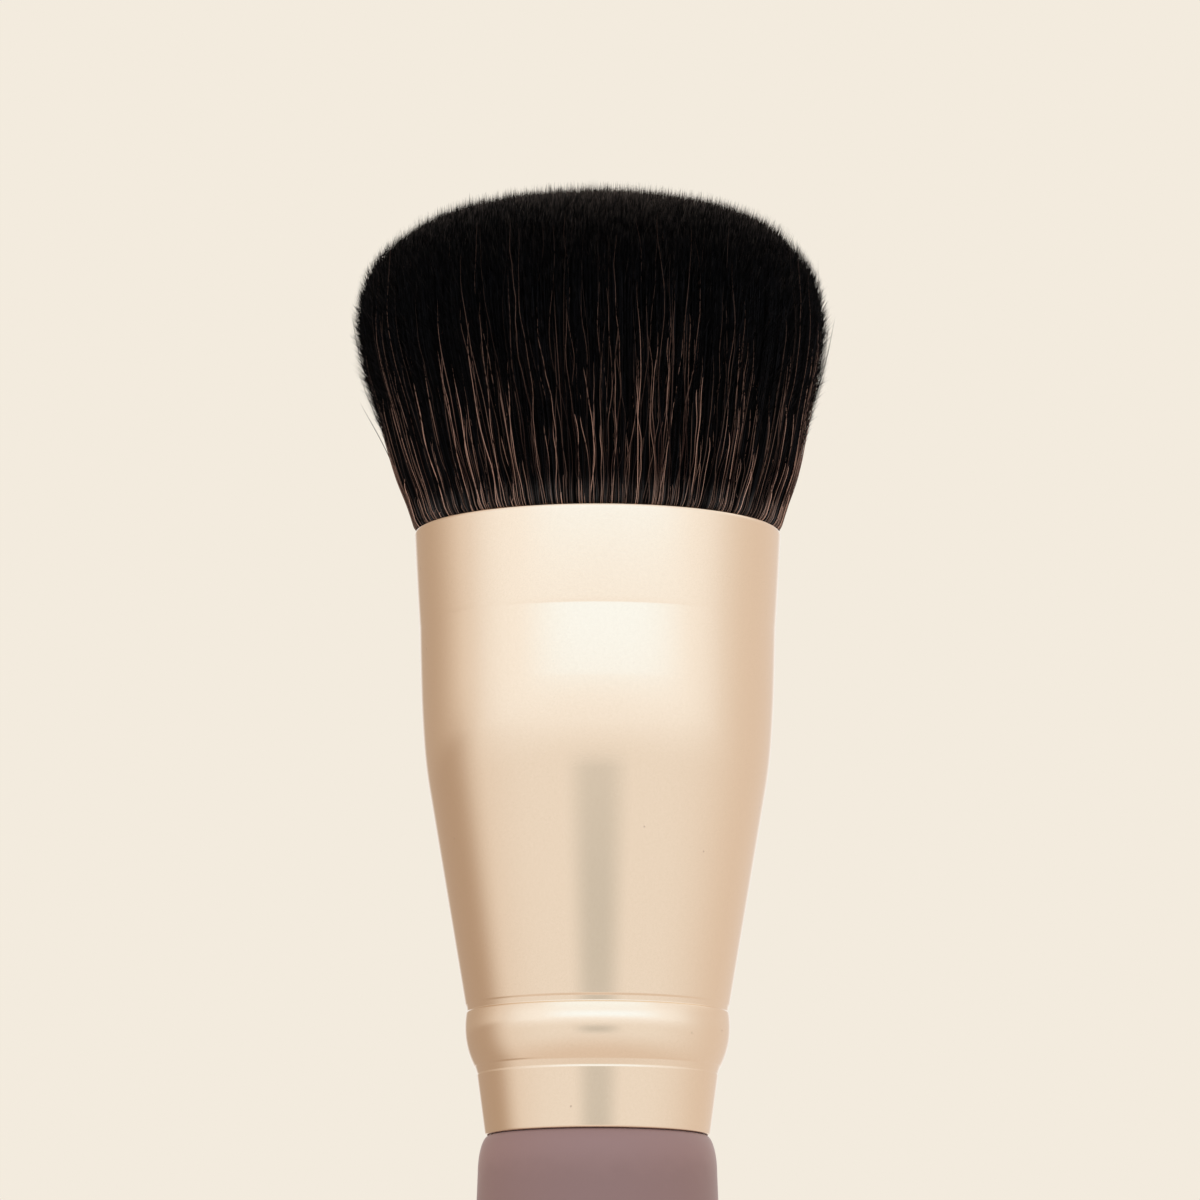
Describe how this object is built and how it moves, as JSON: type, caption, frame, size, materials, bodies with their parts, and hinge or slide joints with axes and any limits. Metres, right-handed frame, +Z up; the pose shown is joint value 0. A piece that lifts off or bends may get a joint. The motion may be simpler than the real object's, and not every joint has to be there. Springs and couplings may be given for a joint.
{
  "type": "foundation brush",
  "caption": "Upright make-up brush: a dense domed head of fine dark filaments in a flared, beaded champagne metal ferrule, on a round mauve soft-touch handle with a flat end.",
  "frame": {"origin": "centre of the handle's flat base, on the surface that the brush stands on", "axes": "+Z runs up the handle's axis to the top of the head; the brush is round, and the picture is taken looking along +Y"},
  "size_m": [0.0288, 0.0288, 0.165],
  "materials": {
    "turned_wood": "turned and sealed, hidden under the coating",
    "soft_touch": "matte mauve soft-touch coating",
    "glue": "cured clear glue",
    "champagne_metal": "satin champagne anodising with a fine turned grain",
    "resin": "cast amber resin",
    "thread": "off-white binding thread",
    "black_filament": "fine black filaments with slightly lighter tapered tips",
    "brown_filament": "thin crimped brown filaments"
  },
  "bodies": {
    "root": {"handle_core": "turned_wood", "handle_coating": "soft_touch", "tenon_glue": "glue", "ferrule": "champagne_metal", "root_plug": "resin", "knot_thread": "thread", "bristles_core": "black_filament", "bristles_middle": "black_filament", "bristles_outer": "black_filament", "bristles_crimped": "brown_filament"}
  },
  "joints": []
}
